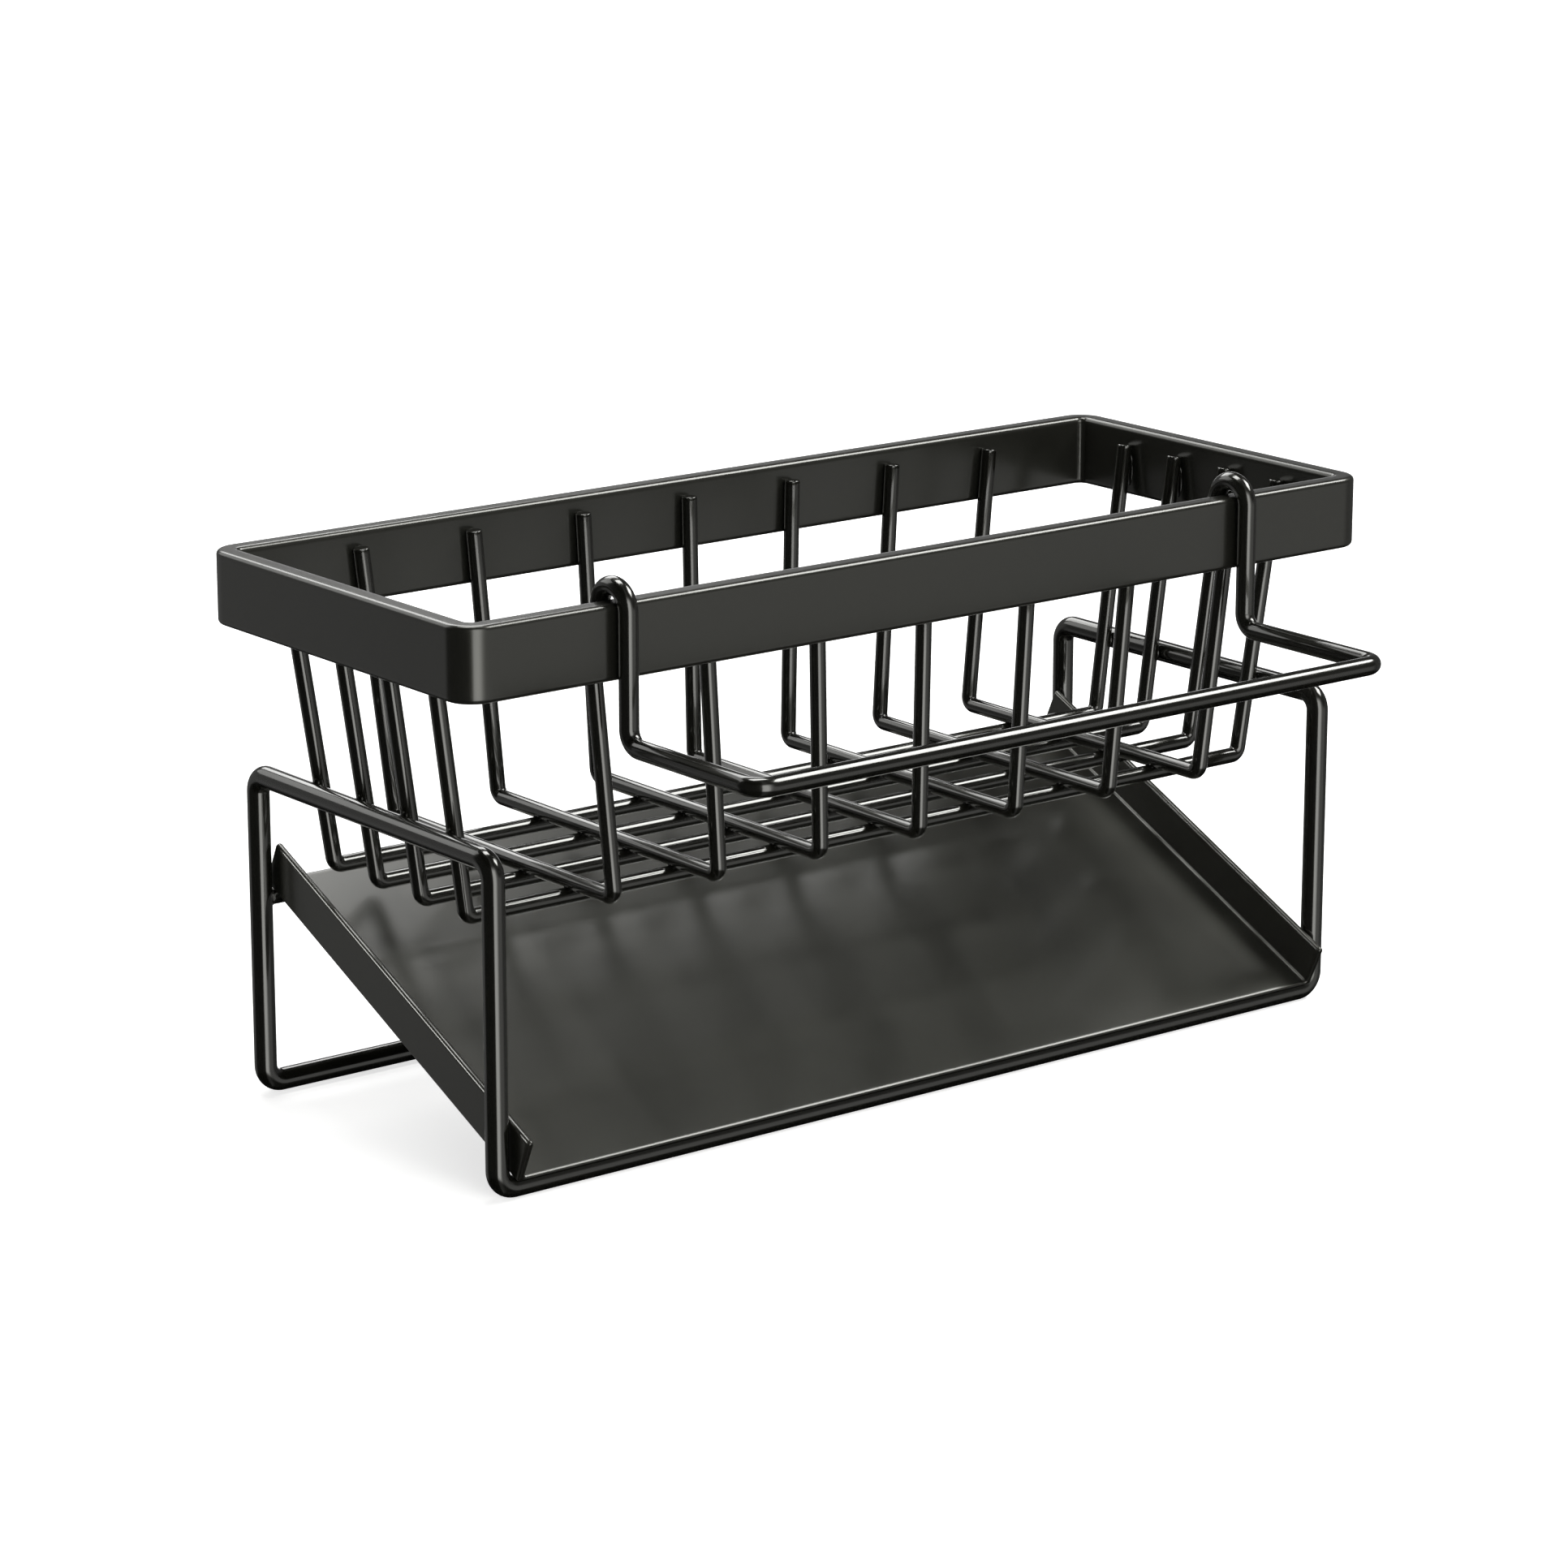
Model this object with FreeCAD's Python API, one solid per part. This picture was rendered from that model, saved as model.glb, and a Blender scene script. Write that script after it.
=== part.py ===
import FreeCAD, Part
import math
import os

# Sponge holder: a wire basket under a flat rim, on a bent wire stand, with a sloping drip tray
# and a towel rail that hooks over the rim. Millimetres, +Z up, origin on the ground under the
# middle of the rim, front towards -Y.

# Rim: one flat bar bent into a rounded rectangle
RIM_LENGTH = 230.0
RIM_DEPTH = 90.0
RIM_HEIGHT = 15.0
RIM_THICKNESS = 4.6
RIM_INNER_RADIUS = 1.4
RIM_EDGE_BREAK = 0.7
RIM_TOP = 114.0

# Stand: one closed loop of thick wire
STAND_WIRE = 4.6
STAND_END_INSET = 8.5
STAND_SIDE_INSET = 3.85
STAND_RAIL_HEIGHT = 67.2
STAND_BEND_INSIDE = 1.4

# Basket: U shaped wires that hang from the rim and cross in the floor, with the margins from the
# rim's outside to the outermost wires
BASKET_WIRE = 3.3
BASKET_BEND_INSIDE = 0.35
FLOOR_HEIGHT = 51.2
CROSS_WIRE_COUNT = 7
CROSS_TOP_MARGIN = 32.8
CROSS_FLOOR_MARGIN = 39.1
CROSS_TAPER = 1.3
LONG_WIRE_COUNT = 4
LONG_TOP_MARGIN = 20.7
LONG_FLOOR_MARGIN = 22.0

# Drip tray: one sheet folded up at both ends, where it is turned over on itself into thick walls with
# round tops, and with a small lip folded down along its back
TRAY_SHEET = 0.8
TRAY_TILT_DEGREES = 24.6
TRAY_WALL_HEIGHT = 9.0
TRAY_WALL_THICKNESS = 1.5
TRAY_FOLD_RADIUS = 0.5
TRAY_FRONT_OVERHANG = 1.9
TRAY_LIP_DEPTH = 0.6
REST_BAR_SETBACK = 0.6

# Towel rail: one wire with a hook at each end, set in from the rim's ends
TOWEL_WIRE = 3.9
TOWEL_REACH = 39.7
TOWEL_DROP = 27.4
TOWEL_BEND_INSIDE = 1.5
HOOK_MARGIN = 36.0
HOOK_LEG = 1.4

# Fits: how far welded wires sink into each other, and the play of the loose pieces
WELD_SINK = 0.2
CROSSING_SINK = 0.45
REST_GAP = 0.3
TRAY_SIDE_GAP = 0.3
HOOK_PLAY = 0.3
HOOK_TIP_GAP = 0.55

# Places worked out from the sizes above
rim_x = RIM_LENGTH / 2
rim_y = RIM_DEPTH / 2
stand_radius = STAND_WIRE / 2
basket_radius = BASKET_WIRE / 2
towel_radius = TOWEL_WIRE / 2
leg_x = rim_x - STAND_END_INSET
leg_y = rim_y - STAND_SIDE_INSET
leg_inner_x = leg_x - stand_radius
wire_rim_offset = RIM_THICKNESS + basket_radius - WELD_SINK
cross_top_y = rim_y - wire_rim_offset
cross_floor_y = cross_top_y - CROSS_TAPER
cross_floor_z = FLOOR_HEIGHT + BASKET_WIRE - CROSSING_SINK
long_top_x = rim_x - wire_rim_offset
tilt = math.radians(TRAY_TILT_DEGREES)
rest_bar_y = leg_y + REST_BAR_SETBACK
tray_run = leg_y + rest_bar_y

# The hooks just clear the broken edges of the rim, and the wire ends stay just under the hook tips
hook_inside = RIM_THICKNESS / 2 + HOOK_PLAY
over_rim_flat = RIM_TOP - math.sqrt(hook_inside ** 2 - (RIM_THICKNESS / 2 - RIM_EDGE_BREAK) ** 2)
over_rim_sides = RIM_TOP - RIM_EDGE_BREAK - math.sqrt(hook_inside ** 2 - (RIM_THICKNESS / 2) ** 2)
hook_centre_z = max(over_rim_flat, over_rim_sides) + REST_GAP
hook_tip_z = hook_centre_z - HOOK_LEG
wire_top = hook_tip_z - HOOK_TIP_GAP


def vector(x, y, z):
    return FreeCAD.Vector(x, y, z)


def bent_wire(points, bend_inside, wire_radius):
    """Round wire along straight runs, with a tangent bend of the inside radius at each inner point."""
    bend_radius = bend_inside + wire_radius
    edges = []
    start = points[0]
    for before, corner, after in zip(points, points[1:], points[2:]):
        back = (before - corner).normalize()
        ahead = (after - corner).normalize()
        half_turn = back.getAngle(ahead) / 2
        leg = bend_radius / math.tan(half_turn)
        middle = (back + ahead).normalize()
        arc_start = corner + back * leg
        arc_end = corner + ahead * leg
        arc_middle = corner + middle * (bend_radius / math.sin(half_turn) - bend_radius)
        edges.append(Part.LineSegment(start, arc_start).toShape())
        edges.append(Part.Arc(arc_start, arc_middle, arc_end).toShape())
        start = arc_end
    edges.append(Part.LineSegment(start, points[-1]).toShape())
    return swept_wire(edges, wire_radius)


def swept_wire(edges, wire_radius):
    """Circle of the wire's radius carried along joined edges."""
    path = Part.Wire(edges)
    first = edges[0]
    tangent = first.tangentAt(first.FirstParameter)
    circle = Part.Circle(first.valueAt(first.FirstParameter), tangent, wire_radius)
    section = Part.Wire([circle.toShape()])
    return path.makePipeShell([section], True, False)


def with_mirror(half):
    """A half on the -X side joined to its mirror image across the middle plane."""
    other = half.mirror(vector(0, 0, 0), vector(1, 0, 0))
    return half.fuse(other).removeSplitter()


def rounded_block(length, depth, radius, bottom, height):
    """Upright block with rounded vertical edges, centred on the origin in X and Y."""
    block = Part.makeBox(length, depth, height, vector(-length / 2, -depth / 2, bottom))
    upright = [edge for edge in block.Edges if edge.BoundBox.ZLength > height / 2]
    return block.makeFillet(radius, upright)


def rim_band():
    """Flat bar bent into a rounded rectangle, with its long edges broken."""
    bottom = RIM_TOP - RIM_HEIGHT
    outer = rounded_block(RIM_LENGTH, RIM_DEPTH, RIM_INNER_RADIUS + RIM_THICKNESS, bottom, RIM_HEIGHT)
    inner_length = RIM_LENGTH - RIM_THICKNESS * 2
    inner_depth = RIM_DEPTH - RIM_THICKNESS * 2
    inner = rounded_block(inner_length, inner_depth, RIM_INNER_RADIUS, bottom, RIM_HEIGHT)
    band = outer.cut(inner)
    level = [edge for edge in band.Edges if edge.BoundBox.ZLength < RIM_HEIGHT / 2]
    return band.makeChamfer(RIM_EDGE_BREAK, level)


def spread_places(count, reach):
    """Evenly spaced places from -reach to reach."""
    return [reach * (2 * i / (count - 1) - 1) for i in range(count)]


def cross_wire(top_x, floor_x):
    """U wire from the front of the rim under the sponge to the back of the rim."""
    points = [
        vector(top_x, -cross_top_y, wire_top),
        vector(floor_x, -cross_floor_y, cross_floor_z),
        vector(floor_x, cross_floor_y, cross_floor_z),
        vector(top_x, cross_top_y, wire_top),
    ]
    return bent_wire(points, BASKET_BEND_INSIDE, basket_radius)


def long_floor_x():
    """Where the line from the rim that grazes the stand's side rail meets the floor wires' height."""
    graze = stand_radius + basket_radius - WELD_SINK
    across = leg_x - long_top_x
    down = wire_top - STAND_RAIL_HEIGHT
    lean = math.asin(graze / math.hypot(across, down)) - math.atan2(across, down)
    return long_top_x - math.tan(lean) * (wire_top - FLOOR_HEIGHT)


def long_wire(top_y, floor_y):
    """U wire from one end of the rim, past the stand's side rails, to the other end."""
    floor_x = long_floor_x()
    points = [
        vector(-long_top_x, top_y, wire_top),
        vector(-floor_x, floor_y, FLOOR_HEIGHT),
        vector(floor_x, floor_y, FLOOR_HEIGHT),
        vector(long_top_x, top_y, wire_top),
    ]
    return bent_wire(points, BASKET_BEND_INSIDE, basket_radius)


def stand_frame():
    """Closed loop: front floor rail, leg, side rail, leg and back floor rail, the same on both ends."""
    points = [
        vector(0, -leg_y, stand_radius),
        vector(-leg_x, -leg_y, stand_radius),
        vector(-leg_x, -leg_y, STAND_RAIL_HEIGHT),
        vector(-leg_x, leg_y, STAND_RAIL_HEIGHT),
        vector(-leg_x, leg_y, stand_radius),
        vector(0, leg_y, stand_radius),
    ]
    return with_mirror(bent_wire(points, STAND_BEND_INSIDE, stand_radius))


def rest_bar_height():
    """Height of the bar that holds the tray's back, so that the tray lies on it at its tilt."""
    climb = math.sin(tilt) * tray_run
    return stand_radius + (stand_radius - basket_radius + climb) / math.cos(tilt)


def tray_rest_bar():
    """Straight wire welded between the two back legs, a little behind their middle."""
    reach = leg_x - math.sqrt(stand_radius ** 2 - REST_BAR_SETBACK ** 2) + WELD_SINK
    start = vector(-reach, rest_bar_y, rest_bar_height())
    return Part.makeCylinder(basket_radius, reach * 2, start, vector(1, 0, 0))


def tray_lip_setback():
    """How far behind the rest bar the lip stands, so that a level pull lifts it over the bar."""
    seat = basket_radius + REST_GAP
    return (seat - (seat - TRAY_LIP_DEPTH) * math.cos(tilt)) / math.sin(tilt)


def tray_length():
    """Length of the sheet up the slope, from the front edge to the outside of the lip."""
    bar_rise = rest_bar_height() - stand_radius
    between_bars = math.cos(tilt) * tray_run + math.sin(tilt) * bar_rise
    return TRAY_FRONT_OVERHANG + between_bars + tray_lip_setback() + TRAY_SHEET


def trough(half_width, fold_radius, floor, wall_top, length):
    """Block with a rounded fold along each lower edge, laid along +Y from the front edge."""
    block = Part.makeBox(half_width * 2, length, wall_top - floor, vector(-half_width, 0, floor))
    lengthwise = [edge for edge in block.Edges if edge.BoundBox.YLength > length / 2]
    folds = [edge for edge in lengthwise if edge.BoundBox.ZMax < (floor + wall_top) / 2]
    return block.makeFillet(fold_radius, folds)


def drip_tray():
    """Folded sheet on the front floor rail and the rest bar, sloping down to the front, with hemmed walls."""
    half_width = leg_inner_x - TRAY_SIDE_GAP
    length = tray_length()
    wall_top = TRAY_SHEET + TRAY_WALL_HEIGHT
    outside = trough(half_width, TRAY_FOLD_RADIUS, 0, wall_top, length)
    inside = trough(half_width - TRAY_WALL_THICKNESS, TRAY_FOLD_RADIUS, TRAY_SHEET, wall_top, length)
    pan = outside.cut(inside)
    lengthwise = [edge for edge in pan.Edges if edge.BoundBox.YLength > length / 2]
    hems = [edge for edge in lengthwise if edge.BoundBox.ZMin > wall_top - TRAY_SHEET / 2]
    pan = pan.makeFillet(TRAY_WALL_THICKNESS * 0.48, hems)
    lip_half = half_width - TRAY_WALL_THICKNESS - TRAY_FOLD_RADIUS
    lip_start = vector(-lip_half, length - TRAY_SHEET, -TRAY_LIP_DEPTH)
    lip = Part.makeBox(lip_half * 2, TRAY_SHEET, TRAY_LIP_DEPTH + TRAY_SHEET, lip_start)
    flat = pan.fuse(lip).removeSplitter()
    flat.rotate(vector(0, 0, 0), vector(1, 0, 0), TRAY_TILT_DEGREES)
    seat = stand_radius + REST_GAP
    front_y = -leg_y - math.sin(tilt) * seat - math.cos(tilt) * TRAY_FRONT_OVERHANG
    front_z = stand_radius + math.cos(tilt) * seat - math.sin(tilt) * TRAY_FRONT_OVERHANG
    flat.translate(vector(0, front_y, front_z))
    return flat


def towel_rail():
    """Wire from a hook behind the rim, over it, down, forward and along the front."""
    side = HOOK_MARGIN - rim_x
    hook_radius = hook_inside + towel_radius
    middle_y = -rim_y + RIM_THICKNESS / 2
    inner_y = middle_y + hook_radius
    outer_y = middle_y - hook_radius
    arm_z = RIM_TOP - TOWEL_DROP
    front_y = outer_y - TOWEL_REACH
    tip = vector(side, inner_y, hook_tip_z)
    inner_top = vector(side, inner_y, hook_centre_z)
    crown = vector(side, middle_y, hook_centre_z + hook_radius)
    outer_top = vector(side, outer_y, hook_centre_z)
    hook_edges = [
        Part.LineSegment(tip, inner_top).toShape(),
        Part.Arc(inner_top, crown, outer_top).toShape(),
    ]
    hook = swept_wire(hook_edges, towel_radius)
    run = [
        outer_top,
        vector(side, outer_y, arm_z),
        vector(side, front_y, arm_z),
        vector(0, front_y, arm_z),
    ]
    arm = bent_wire(run, TOWEL_BEND_INSIDE, towel_radius)
    return with_mirror(hook.fuse(arm).removeSplitter())


def build():
    nodes = {"rim_band": rim_band()}
    cross_tops = spread_places(CROSS_WIRE_COUNT, rim_x - CROSS_TOP_MARGIN)
    cross_floors = spread_places(CROSS_WIRE_COUNT, rim_x - CROSS_FLOOR_MARGIN)
    for number, (top_x, floor_x) in enumerate(zip(cross_tops, cross_floors), start=1):
        nodes[f"cross_wire_{number}"] = cross_wire(top_x, floor_x)
    long_tops = spread_places(LONG_WIRE_COUNT, rim_y - LONG_TOP_MARGIN)
    long_floors = spread_places(LONG_WIRE_COUNT, rim_y - LONG_FLOOR_MARGIN)
    for number, (top_y, floor_y) in enumerate(zip(long_tops, long_floors), start=1):
        nodes[f"long_wire_{number}"] = long_wire(top_y, floor_y)
    nodes["stand_frame"] = stand_frame()
    nodes["tray_rest_bar"] = tray_rest_bar()
    nodes["drip_tray"] = drip_tray()
    nodes["towel_rail"] = towel_rail()
    return nodes


os.makedirs("parts", exist_ok=True)
for name, shape in build().items():
    shape.exportStep(f"parts/{name}.step")
    box = shape.BoundBox
    print(f"{name}: {len(shape.Solids)} solid, {shape.Volume:.1f} mm3, valid {shape.isValid()}, "
          f"x {box.XMin:.2f} {box.XMax:.2f} y {box.YMin:.2f} {box.YMax:.2f} z {box.ZMin:.2f} {box.ZMax:.2f}")
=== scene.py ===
import bpy
import numpy as np
from mathutils import Matrix, Vector


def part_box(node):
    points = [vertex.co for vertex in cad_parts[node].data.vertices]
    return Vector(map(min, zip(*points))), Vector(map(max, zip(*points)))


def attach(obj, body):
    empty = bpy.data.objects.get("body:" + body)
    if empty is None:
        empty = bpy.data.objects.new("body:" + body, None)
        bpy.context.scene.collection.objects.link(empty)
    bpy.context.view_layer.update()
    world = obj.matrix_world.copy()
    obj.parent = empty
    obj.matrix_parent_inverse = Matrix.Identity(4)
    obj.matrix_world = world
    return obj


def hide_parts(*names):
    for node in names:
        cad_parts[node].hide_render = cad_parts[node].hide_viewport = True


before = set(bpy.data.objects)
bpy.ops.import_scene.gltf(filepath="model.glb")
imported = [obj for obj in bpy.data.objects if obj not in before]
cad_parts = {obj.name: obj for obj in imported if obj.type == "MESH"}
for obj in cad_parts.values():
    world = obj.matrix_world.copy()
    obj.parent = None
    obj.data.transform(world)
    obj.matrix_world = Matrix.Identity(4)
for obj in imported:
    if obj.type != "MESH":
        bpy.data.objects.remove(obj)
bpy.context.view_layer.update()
mm = 0.001
print("frame loaded,", len(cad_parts), "nodes")


# Small helpers: colours, nodes, meshes

def hexColour(text):
    # sRGB hex to linear RGBA: each channel c becomes ((c + 0.055) / 1.055) ** 2.4, or c / 12.92 when dark
    channels = np.array([int(text[i:i + 2], 16) for i in (1, 3, 5)]) / 255
    linear = np.where(channels > 0.04045, ((channels + 0.055) / 1.055) ** 2.4, channels / 12.92)
    return (*linear.tolist(), 1.0)


def addNode(tree, kind, inputs=None, **settings):
    node = tree.nodes.new(kind)
    for name, value in settings.items():
        setattr(node, name, value)
    for socket, value in (inputs or {}).items():
        if isinstance(value, bpy.types.NodeSocket):
            tree.links.new(value, node.inputs[socket])
        else:
            node.inputs[socket].default_value = value
    return node


def nodeBox(node):
    return [np.array(corner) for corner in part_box(node)]


def gridFaces(along, around, loop=False):
    # quads that join each ring of a grid to the next; an open grid gets a flat face at each end
    index = np.arange(along * around).reshape(along, around)
    ahead = np.roll(index, -1, axis=0)
    if not loop:
        ahead = ahead[:-1]
    here = index[:len(ahead)]
    quads = np.stack([here, np.roll(here, -1, 1), np.roll(ahead, -1, 1), ahead], axis=-1)
    faces = quads.reshape(-1, 4).tolist()
    if not loop:
        faces += [index[0, ::-1].tolist(), index[-1].tolist()]
    return faces


def smoothMesh(name, points, faces):
    mesh = bpy.data.meshes.new(name)
    mesh.from_pydata(np.reshape(points, (-1, 3)).tolist(), [], faces)
    mesh.shade_smooth()
    return mesh


def gridMesh(name, rings, loop=False):
    return smoothMesh(name, rings, gridFaces(*rings.shape[:2], loop))


def makePiece(mesh, body, material, nodes=()):
    piece = bpy.data.objects.new(mesh.name, mesh)
    bpy.context.scene.collection.objects.link(piece)
    mesh.materials.append(material)
    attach(piece, body)
    if nodes:
        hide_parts(*nodes)
    return piece


# Round wire: a circle carried along straight runs and tangent bends

wireMake = {"sides": 32, "bendStep": 6.0, "fewestSteps": 4, "support": 0.6 * mm, "shortestRun": 0.01 * mm,
            "endRound": 0.3 * mm, "endSteps": 4, "endFlat": 0.8, "sideHint": (0.48, 0.64, 0.6)}


def turned(vector, axis, angles):
    # Rodrigues: v cos a + (k x v) sin a + k (k . v) (1 - cos a), for a whole array of angles
    cos, sin = np.cos(angles)[:, None], np.sin(angles)[:, None]
    return vector * cos + np.cross(axis, vector) * sin + axis * (axis @ vector) * (1 - cos)


def bentPath(corners, bends):
    # centres, directions and side vectors of a wire: each corner is cut by an arc of its own radius,
    # and the side vector turns about each arc's axis, so that the section never twists
    corners = np.array(corners, float)
    lengths = np.linalg.norm(np.diff(corners, axis=0), axis=1)
    ways = np.diff(corners, axis=0) / lengths[:, None]
    turns = np.arccos(np.sum(ways[:-1] * ways[1:], axis=1))
    bends = np.broadcast_to(bends, turns.shape)
    trims = np.concatenate([[0], bends * np.tan(turns / 2), [0]])
    straight = lengths - trims[:-1] - trims[1:]
    supports = np.where(straight > wireMake["shortestRun"], np.minimum(straight / 3, wireMake["support"]), 0)
    side = np.cross(ways[0], wireMake["sideHint"])
    side /= np.linalg.norm(side)
    rows = [(corners[:1], ways[:1], side[None])]
    for i, (before, after) in enumerate(zip(ways, ways[1:])):
        axis = np.cross(before, after) / np.sin(turns[i])
        steps = max(wireMake["fewestSteps"], round(np.degrees(turns[i]) / wireMake["bendStep"]))
        angles = np.linspace(0, turns[i], steps + 1)
        start = corners[i + 1] - before * trims[i + 1]
        pivot = start + np.cross(axis, before) * bends[i]
        arc = pivot + turned(start - pivot, axis, angles)
        arcWays = turned(before, axis, angles)
        arcSides = turned(side, axis, angles)
        if supports[i]:
            rows.append((arc[:1] - before * supports[i], arcWays[:1], arcSides[:1]))
            rows.append((arc, arcWays, arcSides))
        else:
            rows.append((arc[1:], arcWays[1:], arcSides[1:]))
        if supports[i + 1]:
            rows.append((arc[-1:] + after * supports[i + 1], arcWays[-1:], arcSides[-1:]))
        side = arcSides[-1]
    rows.append((corners[-1:], ways[-1:], side[None]))
    return [np.concatenate(column) for column in zip(*rows)]


def wireRings(path, radius):
    # every ring is centre + radius (cos t side + sin t across), t round the circle
    centres, directions, sides = path
    across = np.cross(directions, sides)
    angles = np.linspace(0, 2 * np.pi, wireMake["sides"], endpoint=False)
    circle = np.cos(angles)[:, None] * sides[:, None] + np.sin(angles)[:, None] * across[:, None]
    return centres[:, None] + radius * circle


def sawnEnd(ring, outward):
    # closes a cut wire: a support ring, a quarter round of the end radius, then a flat that shrinks
    # to a last ring
    centre = ring.mean(axis=0)
    radius = np.linalg.norm(ring[0] - centre)
    rounding = wireMake["endRound"]
    angles = np.linspace(0, np.pi / 2, wireMake["endSteps"] + 1)
    quarter = radius - rounding * (1 - np.cos(angles))
    widths = np.concatenate([[radius], quarter, [wireMake["endFlat"] * (radius - rounding)]])
    depths = np.concatenate([[rounding + wireMake["support"]], rounding * (1 - np.sin(angles)), [0]])
    return centre + (ring - centre) * (widths / radius)[:, None, None] - outward * depths[:, None, None]


def cutEnds(rings, first, last):
    # an open wire with both ends sawn off square
    return np.concatenate([sawnEnd(rings[0], -first)[::-1], rings[1:-1], sawnEnd(rings[-1], last)])


def mirrored(half):
    return half * np.array([-1, 1, 1])


# Baked enamel on steel: a black coat with a clear, smooth skin over it. The pigment is a very dark olive
# black. The skin gives sharp highlights on wire and soft mirror images on flat faces, and it dries with a
# faint orange peel.

def bakedEnamel(name, recipe):
    material = bpy.data.materials.new(name)
    material.use_nodes = True
    tree = material.node_tree
    tree.nodes.clear()
    place = addNode(tree, "ShaderNodeTexCoord").outputs["Object"]
    clouds = addNode(tree, "ShaderNodeTexNoise",
                     {"Vector": place, "Scale": 1 / (recipe["cloud"] * mm), "Detail": 3.0,
                      "Roughness": 0.55})
    tone = addNode(tree, "ShaderNodeMix",
                   {0: clouds.outputs["Fac"], 6: hexColour(recipe["dark"]), 7: hexColour(recipe["light"])},
                   data_type="RGBA")
    matt = addNode(tree, "ShaderNodeMapRange",
                   {"Value": clouds.outputs["Fac"], "From Min": 0.3, "From Max": 0.7,
                    "To Min": recipe["roughness"][0], "To Max": recipe["roughness"][1]})
    peel = addNode(tree, "ShaderNodeTexNoise",
                   {"Vector": place, "Scale": 1 / (recipe["peel"] * mm), "Detail": 1.0, "Roughness": 0.4})
    bump = addNode(tree, "ShaderNodeBump",
                   {"Height": peel.outputs["Fac"], "Strength": recipe["peelStrength"],
                    "Distance": recipe["peelDepth"] * mm})
    skin = addNode(tree, "ShaderNodeBsdfPrincipled",
                   {"Base Color": tone.outputs[2], "Roughness": matt.outputs["Result"],
                    "Normal": bump.outputs["Normal"], "Coat Normal": bump.outputs["Normal"],
                    "IOR": recipe["ior"], "Specular Tint": hexColour(recipe["tint"]),
                    "Coat Weight": recipe["coat"], "Coat Roughness": recipe["coatRoughness"]})
    addNode(tree, "ShaderNodeOutputMaterial", {"Surface": skin.outputs["BSDF"]})
    return material


# glossy on round wire, satin on bar and sheet; cloud, peel and peelDepth are in millimetres
wireEnamel = {"dark": "#0D0D0A", "light": "#141410", "tint": "#FFFFF2", "ior": 1.5,
              "roughness": (0.18, 0.24), "coat": 1.0, "coatRoughness": 0.07,
              "cloud": 9.0, "peel": 0.9, "peelDepth": 0.001, "peelStrength": 0.3}
barEnamel = {"dark": "#181815", "light": "#1E1E1A", "tint": "#FFFFEE", "ior": 1.5,
             "roughness": (0.285, 0.335), "coat": 0.8, "coatRoughness": 0.18,
             "cloud": 14.0, "peel": 1.1, "peelDepth": 0.002, "peelStrength": 0.3}
sheetEnamel = {"dark": "#171714", "light": "#1C1C18", "tint": "#FFFFEE", "ior": 1.5,
               "roughness": (0.32, 0.38), "coat": 0.8, "coatRoughness": 0.20,
               "cloud": 22.0, "peel": 1.3, "peelDepth": 0.002, "peelStrength": 0.3}

basketCoat = bakedEnamel("bakedEnamelOnBasketWire", wireEnamel)
standCoat = bakedEnamel("bakedEnamelOnStandWire", wireEnamel)
railCoat = bakedEnamel("bakedEnamelOnTowelRail", wireEnamel)
barCoat = bakedEnamel("bakedEnamelOnFlatBar", barEnamel)
sheetCoat = bakedEnamel("bakedEnamelOnSheet", sheetEnamel)
print("materials made")


# Rim: flat bar bent on edge into a rounded rectangle

rim = {"thickness": 4.6 * mm, "insideBend": 1.4 * mm, "edgeRound": 1.0 * mm, "support": 0.5 * mm,
       "bendSteps": 16, "roundSteps": 5}
rimLow, rimHigh = nodeBox("rim_band")


def roundedCorners(half, radius, steps, support):
    # points and outward vectors of a rounded rectangle, anticlockwise, with a support beside each bend
    angles = np.linspace(0, np.pi / 2, steps + 1)
    points, outs = [], []
    for quarter, signs in enumerate([(1, 1), (-1, 1), (-1, -1), (1, -1)]):
        out = np.stack([np.cos(angles + quarter * np.pi / 2), np.sin(angles + quarter * np.pi / 2)], axis=1)
        arc = (half - radius) * signs + out * radius
        ahead = np.array([[-out[0, 1], out[0, 0]], [-out[-1, 1], out[-1, 0]]]) * support
        points += [arc[:1] - ahead[:1], arc, arc[-1:] + ahead[1:]]
        outs += [out[:1], out, out[-1:]]
    return np.concatenate(points), np.concatenate(outs)


def rimRings():
    # the bar's rounded section, in (outwards, up), carried round the middle line of the rim
    middleHalf = (rimHigh - rimLow)[:2] / 2 - rim["thickness"] / 2
    middle, outs = roundedCorners(middleHalf, rim["insideBend"] + rim["thickness"] / 2, rim["bendSteps"],
                                  rim["support"])
    barHalf = np.array([rim["thickness"], rimHigh[2] - rimLow[2]]) / 2
    section, _ = roundedCorners(barHalf, rim["edgeRound"], rim["roundSteps"], rim["support"])
    section = section[::-1]
    flat = middle[:, None] + outs[:, None] * section[None, :, :1]
    height = np.broadcast_to(section[None, :, 1:] + (rimLow[2] + rimHigh[2]) / 2, (*flat.shape[:2], 1))
    return np.concatenate([flat, height], axis=2)


makePiece(gridMesh("rimBand", rimRings(), loop=True), "holder", barCoat, ["rim_band"])
print("rim made")


# Basket: U wires hung in the rim, the cross wires lying on the long wires

basket = {"wire": 3.3 * mm, "bend": 2.0 * mm, "crossTaper": 1.3 * mm, "longLean": 8.21,
          "crossCount": 7, "longCount": 4}
wireRadius = basket["wire"] / 2
wireTop = nodeBox("cross_wire_4")[1][2]


def spanEnds(low, high):
    # a leaning wire's outermost and innermost place along one axis, from its box
    outer, inner = (low, high) if low + high < 0 else (high, low)
    return outer - np.sign(outer) * wireRadius, inner + np.sign(outer) * wireRadius


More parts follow.
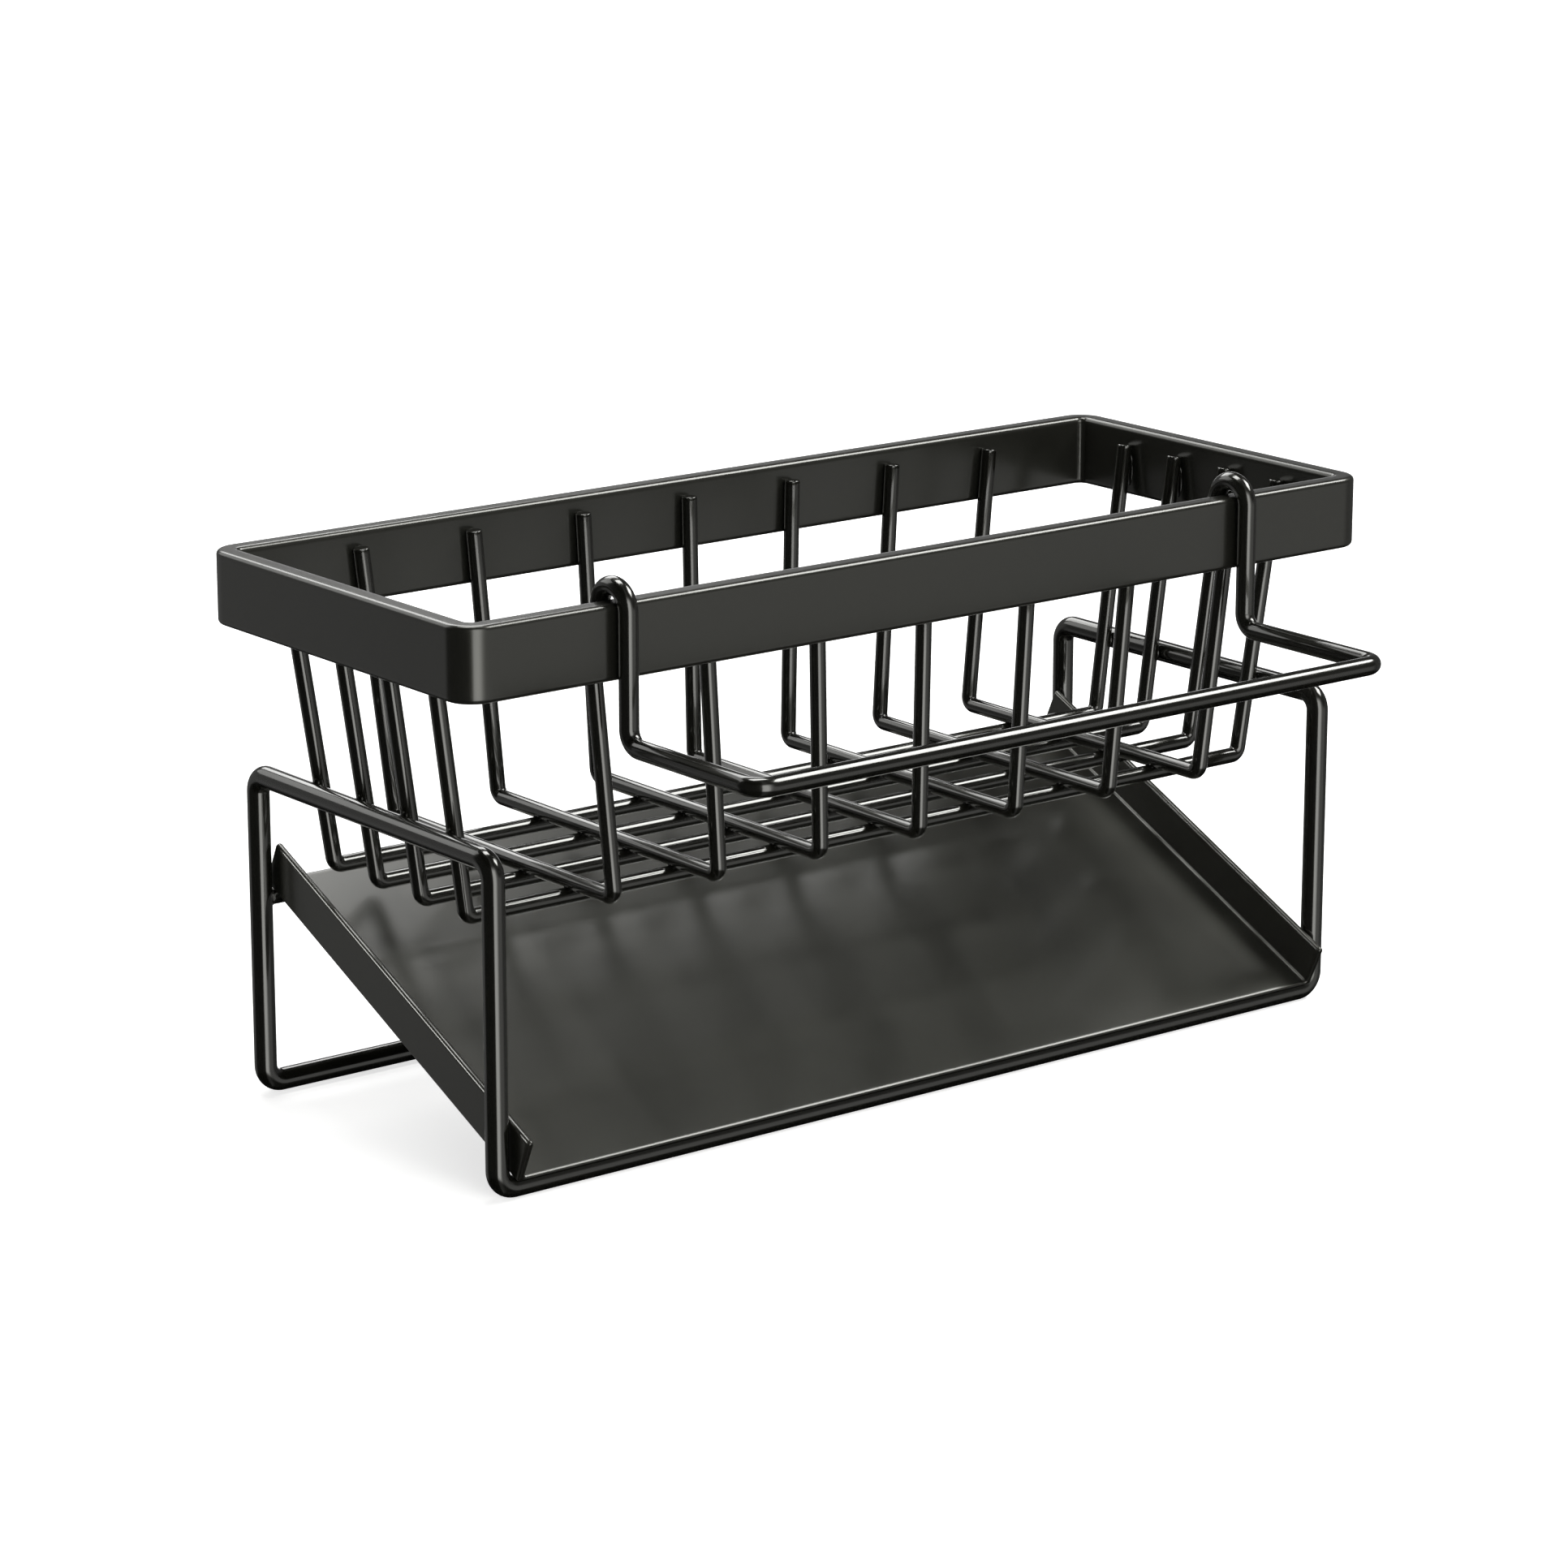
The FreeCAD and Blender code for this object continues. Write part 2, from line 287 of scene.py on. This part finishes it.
def crossCorners(node):
    low, high = nodeBox(node)
    topX, floorX = spanEnds(low[0], high[0])
    topY = high[1] - wireRadius
    floorY, floorZ = topY - basket["crossTaper"], low[2] + wireRadius
    return [(topX, -topY, wireTop), (floorX, -floorY, floorZ),
            (floorX, floorY, floorZ), (topX, topY, wireTop)]


def longCorners(node):
    low, high = nodeBox(node)
    topY, floorY = spanEnds(low[1], high[1])
    topX, floorZ = high[0] - wireRadius, low[2] + wireRadius
    floorX = topX - np.tan(np.radians(basket["longLean"])) * (wireTop - floorZ)
    return [(-topX, topY, wireTop), (-floorX, floorY, floorZ),
            (floorX, floorY, floorZ), (topX, topY, wireTop)]


def basketWire(name, corners, node):
    path = bentPath(corners, basket["bend"])
    rings = cutEnds(wireRings(path, wireRadius), path[1][0], path[1][-1])
    makePiece(gridMesh(name, rings), "holder", basketCoat, [node])


crossPaths = [crossCorners(f"cross_wire_{i + 1}") for i in range(basket["crossCount"])]
longPaths = [longCorners(f"long_wire_{i + 1}") for i in range(basket["longCount"])]
for i, corners in enumerate(crossPaths):
    basketWire(f"crossWire{i + 1}", corners, f"cross_wire_{i + 1}")
for i, corners in enumerate(longPaths):
    basketWire(f"longWire{i + 1}", corners, f"long_wire_{i + 1}")
print("basket made,", len(crossPaths) + len(longPaths), "wires")


# Stand: one closed loop, and the bar between its back legs

stand = {"wire": 4.6 * mm, "bendInside": 1.4 * mm, "restBar": 3.3 * mm}
standLow, standHigh = nodeBox("stand_frame")
standRadius = stand["wire"] / 2


def standRings():
    # half a loop from the middle of the front floor rail to the middle of the back one, then its
    # mirror image
    legX, legY, railZ = standHigh - standRadius
    floorZ = standLow[2] + standRadius
    half = [(0, -legY, floorZ), (-legX, -legY, floorZ), (-legX, -legY, railZ), (-legX, legY, railZ),
            (-legX, legY, floorZ), (0, legY, floorZ)]
    rings = wireRings(bentPath(half, stand["bendInside"] + standRadius), standRadius)
    return np.concatenate([rings, mirrored(rings[-2:0:-1])])


standMesh = gridMesh("standFrame", standRings(), loop=True)
makePiece(standMesh, "holder", standCoat, ["stand_frame"])

barLow, barHigh = nodeBox("tray_rest_bar")
barMiddle = (barLow + barHigh) / 2
barPath = bentPath([(barLow[0], *barMiddle[1:]), (barHigh[0], *barMiddle[1:])], 0)
barMesh = gridMesh("trayRestBar", wireRings(barPath, stand["restBar"] / 2))
makePiece(barMesh, "holder", standCoat, ["tray_rest_bar"])
print("stand made")


# Drip tray: one folded sheet whose walls are turned over on themselves, so they are thick with round tops

tray = {"sheet": 0.8 * mm, "tilt": 24.6, "wall": 9.0 * mm, "wallThickness": 1.5 * mm, "fold": 0.5 * mm,
        "lipDrop": 0.6 * mm, "lipRadius": 0.8 * mm, "lipFade": 3.0 * mm, "support": 0.3 * mm,
        "edgeRound": 0.37 * mm, "frontRound": 0.9 * mm, "backRound": 0.4 * mm, "wallStart": 1.0 * mm,
        "slopeMargin": 0.5 * mm, "floorPoints": 9, "fadePoints": 7, "foldPoints": 9, "wallPoints": 4,
        "topPoints": 17, "endPoints": 7, "slopePoints": 12, "curlPoints": 8}
trayLow, trayHigh = nodeBox("drip_tray")
trayTop = tray["sheet"] + tray["wall"]


def traySide(half, fold, foldHeight, level, outwards):
    # one side of half the section, from the middle of the floor to the foot of the wall's round top, as
    # rows of x, height, normal x, normal height; the fold is a quarter circle, hollow where outwards is -1
    near = tray["support"]
    fadeX = half - fold - tray["lipFade"]
    floorX = np.concatenate([np.linspace(0, fadeX, tray["floorPoints"]),
                             np.linspace(fadeX, half - fold - near, tray["fadePoints"])[1:]])
    turn = np.linspace(-np.pi / 2, 0, tray["foldPoints"])
    foldX, foldZ = half - fold + fold * np.cos(turn), foldHeight + fold * np.sin(turn)
    wallEnd = trayTop - tray["wallThickness"] / 2
    upper = np.linspace(foldHeight + tray["wallStart"], wallEnd - near, tray["wallPoints"])
    wallZ = np.concatenate([[foldHeight + near], upper])
    floor = [floorX, 0 * floorX + level, 0 * floorX, 0 * floorX - outwards]
    bend = [foldX, foldZ, np.cos(turn) * outwards, np.sin(turn) * outwards]
    wall = [0 * wallZ + half, wallZ, 0 * wallZ + outwards, 0 * wallZ]
    return np.concatenate([floor, bend, wall], axis=1), len(floorX)


def trayLoop():
    # the whole closed section: under the floor, up the outside, over the round top, down the inside, then
    # its mirror image; share says how far each point follows the lip at the back
    half, thick, fold = trayHigh[0], tray["wallThickness"], tray["fold"]
    outside, count = traySide(half, fold, fold, 0, 1)
    inside, count = traySide(half - thick, fold, tray["sheet"] + fold, tray["sheet"], -1)
    turn = np.linspace(0, np.pi, tray["topPoints"])
    top = np.array([half - thick / 2 + thick / 2 * np.cos(turn),
                    trayTop - thick / 2 + thick / 2 * np.sin(turn), np.cos(turn), np.sin(turn)])
    right = np.concatenate([outside, top, inside[:, ::-1]], axis=1)
    loop = np.concatenate([right, right[:, -2:0:-1] * np.array([[-1], [1], [-1], [1]])], axis=1)
    side = np.zeros(outside.shape[1] + len(turn) // 2 + 1)
    plain = tray["floorPoints"] - 1
    fade = np.linspace(1, 0, count - plain)
    side[:count] = np.concatenate([np.ones(plain), fade * fade * (3 - 2 * fade)])
    shares = np.concatenate([side, side[-2::-1]])
    return loop, np.concatenate([shares, shares[-2:0:-1]]), len(side)


def trayRows(length):
    # columns up the slope: how far along to the lip, then how far round the lip, and the inset of the
    # section, which rounds both ends; the last value is the pace of what doesn't follow the lip
    turn = np.linspace(0, np.pi / 2, tray["endPoints"])
    front, inset, margin = tray["frontRound"], tray["edgeRound"], tray["slopeMargin"]
    flatEnd = length - tray["lipRadius"] - tray["sheet"] / 2
    lipLength = tray["lipRadius"] * np.pi / 2 + tray["sheet"] / 2 - tray["lipRadius"] + tray["lipDrop"]
    slope = np.linspace(front + margin, flatEnd - margin, tray["slopePoints"])
    flat = np.concatenate([front * (1 - np.cos(turn)), slope])
    bendEnd = lipLength - tray["backRound"]
    bend = np.linspace(0, bendEnd, tray["curlPoints"])[:-1]
    curl = np.concatenate([bend, bendEnd + tray["backRound"] * np.sin(turn)])
    along = np.concatenate([flat, 0 * curl + flatEnd])
    way = np.concatenate([0 * flat, curl])
    plain = np.zeros(len(slope) + len(bend))
    insets = np.concatenate([inset * (1 - np.sin(turn)), plain, inset * (1 - np.cos(turn))])
    return along[:, None], way[:, None], insets[:, None], (length - flatEnd) / lipLength


def trayShell():
    # the section carried up the slope, with the lip turned down at the back, and both ends closed
    loop, share, side = trayLoop()
    tilt = np.radians(tray["tilt"])
    frontY, frontZ = trayLow[1] + np.sin(tilt) * trayTop, trayLow[2]
    length = (trayHigh[2] - frontZ - np.cos(tilt) * trayTop) / np.sin(tilt)
    along, way, inset, plainPace = trayRows(length)
    x, height = loop[0] - loop[2] * inset, loop[1] - loop[3] * inset
    # round the lip: a quarter turn about a pivot under the sheet, then straight down
    pivot = tray["sheet"] / 2 - tray["lipRadius"]
    angle = np.minimum(way / tray["lipRadius"], np.pi / 2)
    drop = way - angle * tray["lipRadius"]
    lipAlong = (height - pivot) * np.sin(angle)
    lipHeight = pivot + (height - pivot) * np.cos(angle) - drop
    y = along + way * plainPace * (1 - share) + lipAlong * share
    z = height * (1 - share) + lipHeight * share
    points = np.stack([x + 0 * y, frontY + y * np.cos(tilt) - z * np.sin(tilt),
                       frontZ + y * np.sin(tilt) + z * np.cos(tilt)], axis=2)
    # each end is closed by a strip of quads between the outside and the inside of the section
    rows, count = points.shape[:2]
    index = np.arange(rows * count).reshape(rows, count)
    ahead = np.roll(index, -1, axis=1)
    walls = np.stack([index[:-1], index[1:], ahead[1:], ahead[:-1]], axis=-1).reshape(-1, 4)
    step = np.arange(side - 2)
    strip = np.stack([step, step + 1, 2 * side - 3 - step, 2 * side - 2 - step], axis=1)
    strip = np.concatenate([strip, (count - strip[:, ::-1]) % count])
    tip = np.array([[side - 2, side - 1, side], [count - side, count - side + 1, count - side + 2]])
    last = (rows - 1) * count
    faces = [*walls.tolist(), *strip.tolist(), *tip.tolist()]
    faces += [*(strip[:, ::-1] + last).tolist(), *(tip[:, ::-1] + last).tolist()]
    return smoothMesh("dripTray", points, faces)


trayPiece = makePiece(trayShell(), "drip_tray", sheetCoat, ["drip_tray"])
print("drip tray made")


# Towel rail: one wire, hooked over the rim at both ends

rail = {"wire": 3.9 * mm, "bend": 3.45 * mm, "hookInside": 2.6 * mm, "hookLeg": 1.4 * mm}
railLow, railHigh = nodeBox("towel_rail")
railRadius = rail["wire"] / 2


def railRings():
    # half a rail from a hook's tip to the middle of the front bar, then its mirror image; the hook's two
    # square corners are cut by arcs as wide as the hook, which leaves one half circle
    hook = rail["hookInside"] + railRadius
    sideX, frontY, armZ = railLow + railRadius
    innerY = railHigh[1] - railRadius
    outerY = innerY - 2 * hook
    crownZ = railHigh[2] - railRadius
    tipZ = crownZ - hook - rail["hookLeg"]
    corners = [(sideX, innerY, tipZ), (sideX, innerY, crownZ), (sideX, outerY, crownZ),
               (sideX, outerY, armZ), (sideX, frontY, armZ), (0, frontY, armZ)]
    path = bentPath(corners, (hook, hook, rail["bend"], rail["bend"]))
    half = wireRings(path, railRadius)
    return cutEnds(np.concatenate([half, mirrored(half[-2::-1])]), path[1][0], -path[1][0])


makePiece(gridMesh("towelRail", railRings()), "towel_rail", railCoat, ["towel_rail"])
print("towel rail made")


# Weld spots: small beads of metal that fill the notch wherever two wires, or a wire and the rim, meet

weld = {"crossing": (1.25, 1.25, 0.5), "atRim": (0.35, 0.95, 3.6), "atStand": (0.6, 1.2, 1.5),
        "atBar": (0.5, 2.0, 2.0), "rings": 9, "around": 16, "pole": 0.12}


def beadMesh(name, centres, radii):
    # each bead is centre + radii (sin u cos v, sin u sin v, cos u), with u from pole to pole and v round it
    u = np.linspace(np.pi - weld["pole"], weld["pole"], weld["rings"])[:, None]
    v = np.linspace(0, 2 * np.pi, weld["around"], endpoint=False)
    unit = np.stack([np.sin(u) * np.cos(v), np.sin(u) * np.sin(v), np.cos(u) + 0 * v], axis=-1)
    points = np.array(centres)[:, None, None] + np.array(radii)[:, None, None] * unit
    faces = gridFaces(weld["rings"], weld["around"])
    first = np.arange(len(centres))[:, None, None] * weld["rings"] * weld["around"]
    sides = (np.array(faces[:-2]) + first).reshape(-1, 4)
    ends = (np.array(faces[-2:]) + first).reshape(-1, weld["around"])
    return smoothMesh(name, points, [*sides.tolist(), *ends.tolist()])


def alongTo(start, end, height):
    # the point at one height on the straight between two corners
    start, end = np.array(start), np.array(end)
    return start + (end - start) * (height - start[2]) / (end[2] - start[2])


def weldSpots():
    # places and sizes of all the beads: wire on wire, wire in rim, wire on stand, bar between the legs
    innerRim = rimHigh[:2] - rim["thickness"]
    rimZ = (rimLow[2] + wireTop) / 2
    places = []
    for cross in crossPaths:
        for long in longPaths:
            crossingZ = (cross[1][2] + long[1][2]) / 2
            places.append(((cross[1][0], long[1][1], crossingZ), weld["crossing"]))
        for first, second in (cross[:2], cross[:1:-1]):
            spot = alongTo(first, second, rimZ)
            turnedBead = np.array(weld["atRim"])[[1, 0, 2]]
            places.append(((spot[0], np.sign(spot[1]) * innerRim[1], rimZ), turnedBead))
    railZ = standHigh[2] - standRadius
    legInside = standHigh[0] - stand["wire"]
    for long in longPaths:
        for first, second in (long[:2], long[:1:-1]):
            spot = alongTo(first, second, rimZ)
            places.append(((np.sign(spot[0]) * innerRim[0], spot[1], rimZ), weld["atRim"]))
            spot = alongTo(first, second, railZ)
            places.append(((np.sign(spot[0]) * legInside, spot[1], railZ), weld["atStand"]))
    places += [((side * legInside, *barMiddle[1:]), weld["atBar"]) for side in (-1, 1)]
    return zip(*places)


centres, radii = weldSpots()
makePiece(beadMesh("weldSpots", centres, np.array(radii) * mm), "holder", basketCoat)
print("weld spots made,", len(centres))


# Camera: the photograph's viewing angle

view = {"azimuth": -37.903, "elevation": 15.033, "distance": 1.060943, "target": (0, 0, 0.055),
        "pan": (-4.061 * mm, 1.149 * mm), "focalPixels": 6320.0, "framePixels": 1932}
azimuth, elevation = np.radians([view["azimuth"], view["elevation"]])
flatShare = np.cos(elevation)
back = Vector((np.sin(azimuth) * flatShare, -np.cos(azimuth) * flatShare, np.sin(elevation)))
right = Vector((np.cos(azimuth), np.sin(azimuth), 0))
up = back.cross(right)
cameraData = bpy.data.cameras.new("camera")
cameraData.lens = view["focalPixels"] / view["framePixels"] * cameraData.sensor_width
camera = bpy.data.objects.new("camera", cameraData)
bpy.context.scene.collection.objects.link(camera)
place = Vector(view["target"]) + back * view["distance"] + right * view["pan"][0] + up * view["pan"][1]
camera.matrix_world = Matrix.Translation(place) @ Matrix((right, up, back)).transposed().to_4x4()
bpy.context.scene.camera = camera
print("camera placed")


# Lamps: a softbox high on the right draws the streaks on the wires, one behind with a weak fill beside it
# lights what runs from front to back, and one overhead lights the tops. The lamps with an aim light the tray
# alone: two panels for the pale patch at its back left, and one on the left for the line along its wall tops.

lamps = {"softboxRight": {"place": (0.66, -0.30, 0.90), "size": (0.60, 0.40), "radiance": 11.0},
         "softboxBehind": {"place": (0.17, 0.62, 0.59), "size": (0.50, 0.34), "radiance": 3.6},
         "fillBehind": {"place": (-0.34, 0.60, 0.50), "size": (0.44, 0.44), "radiance": 1.2},
         "overhead": {"place": (0.03, 0.20, 0.90), "size": (0.46, 0.26), "radiance": 9.0},
         "trayPanel": {"place": (0.22, 0.20, 0.40), "size": (0.22, 0.13), "radiance": 0.6,
                       "aim": (0.22, 0.20, 0)},
         "trayGlow": {"place": (0.16, 0.27, 0.46), "size": (0.16, 0.14), "radiance": 3.2,
                      "aim": (0.16, 0.27, 0)},
         "trayEdge": {"place": (-0.81, 0.40, 0.42), "size": (0.26, 0.26), "radiance": 14.0,
                      "aim": (0, 0, 0.03)}}
objectMiddle = (0, 0, 0.06)
trayLit = bpy.data.collections.new("trayLit")
trayLit.objects.link(trayPiece)
for name, lamp in lamps.items():
    data = bpy.data.lights.new(name, "AREA")
    data.shape = "RECTANGLE"
    data.size, data.size_y = lamp["size"]
    data.energy = lamp["radiance"] * np.pi * lamp["size"][0] * lamp["size"][1]
    box = bpy.data.objects.new(name, data)
    box.location = lamp["place"]
    ahead = Vector(lamp.get("aim", objectMiddle)) - box.location
    box.rotation_euler = ahead.to_track_quat("-Z", "Y").to_euler()
    box.visible_camera = False
    bpy.context.scene.collection.objects.link(box)
    if "aim" in lamp:
        box.light_linking.receiver_collection = trayLit
print("lamps placed,", len(lamps))


# Studio: a ring of pale cards with dark gaps stands round the object, a flag shades it at the front right,
# and a white backdrop stands behind. Angles are degrees round from the front towards the left; levels are
# shares of the brightest card. Top and bottom give the heights between which the cards fade, and the share
# that is left past them.

studio = {"brightest": 3.4,
          "cards": [(90, 0.01), (46, 0.01), (34, 0.02), (28, 1.0), (8, 1.0), (-6, 0.34), (-14, 0.17),
                    (-38, 0.16), (-60, 0.04), (-110, 0.02), (-168, 0.03), (150, 0.07), (142, 0.07),
                    (134, 0.01), (118, 0.01)],
          "top": (0.45, 0.75, 0.06), "bottom": (-0.60, -0.42, 0.05),
          "backdrop": (0.593, 0.762, -0.14), "backdropWidth": (20.0, 10.0),
          "flag": (0.593, -0.70, 0.40), "flagWidth": (27.0, 13.0), "flagLevel": 0.2}


def studioWorld():
    world = bpy.data.worlds.new("studio")
    world.use_nodes = True
    tree = world.node_tree
    tree.nodes.clear()
    way = addNode(tree, "ShaderNodeTexCoord").outputs["Generated"]
    height = addNode(tree, "ShaderNodeSeparateXYZ", {0: way}).outputs["Z"]
    turn = addNode(tree, "ShaderNodeTexGradient", {"Vector": way}, gradient_type="RADIAL")
    ring = addNode(tree, "ShaderNodeValToRGB", {"Fac": turn.outputs["Fac"]})
    stops = sorted(((0.25 - angle / 360) % 1, level) for angle, level in studio["cards"])
    elements = ring.color_ramp.elements
    elements.remove(elements[1])
    elements[0].position = stops[0][0]
    for position, level in stops[1:]:
        elements.new(position)
    for stop, (position, level) in zip(elements, stops):
        stop.color = (level, level, level, 1)
    low, high, rest = studio["top"]
    top = addNode(tree, "ShaderNodeMapRange", {"Value": height, 1: low, 2: high, 3: 1.0, 4: rest},
                  interpolation_type="SMOOTHSTEP")
    low, high, rest = studio["bottom"]
    bottom = addNode(tree, "ShaderNodeMapRange", {"Value": height, 1: low, 2: high, 3: rest, 4: 1.0},
                     interpolation_type="SMOOTHSTEP")
    both = addNode(tree, "ShaderNodeMath", {0: top.outputs[0], 1: bottom.outputs[0]}, operation="MULTIPLY")
    facing = addNode(tree, "ShaderNodeVectorMath", {0: way, 1: Vector(studio["flag"]).normalized()},
                     operation="DOT_PRODUCT")
    wide, full = np.cos(np.radians(studio["flagWidth"]))
    flag = addNode(tree, "ShaderNodeMapRange",
                   {"Value": facing.outputs["Value"], 1: wide, 2: full, 3: studio["brightest"],
                    4: studio["brightest"] * studio["flagLevel"]}, interpolation_type="SMOOTHSTEP")
    level = addNode(tree, "ShaderNodeMath", {0: both.outputs[0], 1: flag.outputs[0]}, operation="MULTIPLY")
    cards = addNode(tree, "ShaderNodeBackground",
                    {"Color": ring.outputs["Color"], "Strength": level.outputs[0]})
    white = addNode(tree, "ShaderNodeBackground", {"Color": hexColour("#FFFFFF"), "Strength": 1.0})
    near = addNode(tree, "ShaderNodeVectorMath", {0: way, 1: Vector(studio["backdrop"]).normalized()},
                   operation="DOT_PRODUCT")
    wide, full = np.cos(np.radians(studio["backdropWidth"]))
    backdrop = addNode(tree, "ShaderNodeMapRange", {"Value": near.outputs["Value"], 1: wide, 2: full},
                       interpolation_type="SMOOTHSTEP")
    light = addNode(tree, "ShaderNodeLightPath")
    reflected = addNode(tree, "ShaderNodeMath", {0: light.outputs["Is Glossy Ray"], 1: backdrop.outputs[0]},
                        operation="MULTIPLY")
    seen = addNode(tree, "ShaderNodeMath",
                   {0: light.outputs["Is Camera Ray"], 1: light.outputs["Is Transmission Ray"]},
                   operation="ADD")
    shown = addNode(tree, "ShaderNodeMath", {0: seen.outputs[0], 1: reflected.outputs[0]},
                    operation="ADD", use_clamp=True)
    mix = addNode(tree, "ShaderNodeMixShader",
                  {0: shown.outputs[0], 1: cards.outputs[0], 2: white.outputs[0]})
    addNode(tree, "ShaderNodeOutputWorld", {"Surface": mix.outputs[0]})
    return world


bpy.context.scene.world = studioWorld()
bpy.context.scene.view_settings.view_transform = "Standard"


# Floor: matt white paper that takes the object's shadow; for the camera it pales to plain white further out

paper = {"half": 4.0, "colour": "#E6E6E4", "glow": 0.70, "shadowReach": (0.22, 0.5)}


def paperFloor():
    material = bpy.data.materials.new("mattWhitePaper")
    material.use_nodes = True
    tree = material.node_tree
    tree.nodes.clear()
    place = addNode(tree, "ShaderNodeTexCoord").outputs["Object"]
    reach = addNode(tree, "ShaderNodeVectorMath", {0: place}, operation="LENGTH")
    near, far = paper["shadowReach"]
    fade = addNode(tree, "ShaderNodeMapRange",
                   {"Value": reach.outputs["Value"], 1: near, 2: far, 3: paper["glow"], 4: 1.0},
                   interpolation_type="SMOOTHSTEP")
    light = addNode(tree, "ShaderNodeLightPath")
    glow = addNode(tree, "ShaderNodeMath", {0: fade.outputs[0], 1: light.outputs["Is Camera Ray"]},
                   operation="MULTIPLY")
    matt = addNode(tree, "ShaderNodeBsdfDiffuse", {"Color": hexColour(paper["colour"])})
    white = addNode(tree, "ShaderNodeEmission", {"Strength": glow.outputs[0]})
    both = addNode(tree, "ShaderNodeAddShader", {0: matt.outputs[0], 1: white.outputs[0]})
    addNode(tree, "ShaderNodeOutputMaterial", {"Surface": both.outputs[0]})
    half = paper["half"]
    mesh = bpy.data.meshes.new("floor")
    corners = [(-half, -half, 0), (half, -half, 0), (half, half, 0), (-half, half, 0)]
    mesh.from_pydata(corners, [], [(0, 1, 2, 3)])
    mesh.materials.append(material)
    floor = bpy.data.objects.new("floor", mesh)
    bpy.context.scene.collection.objects.link(floor)
    floor.visible_glossy = False  # so that the wires keep their dark undersides


paperFloor()
print("studio and floor made")
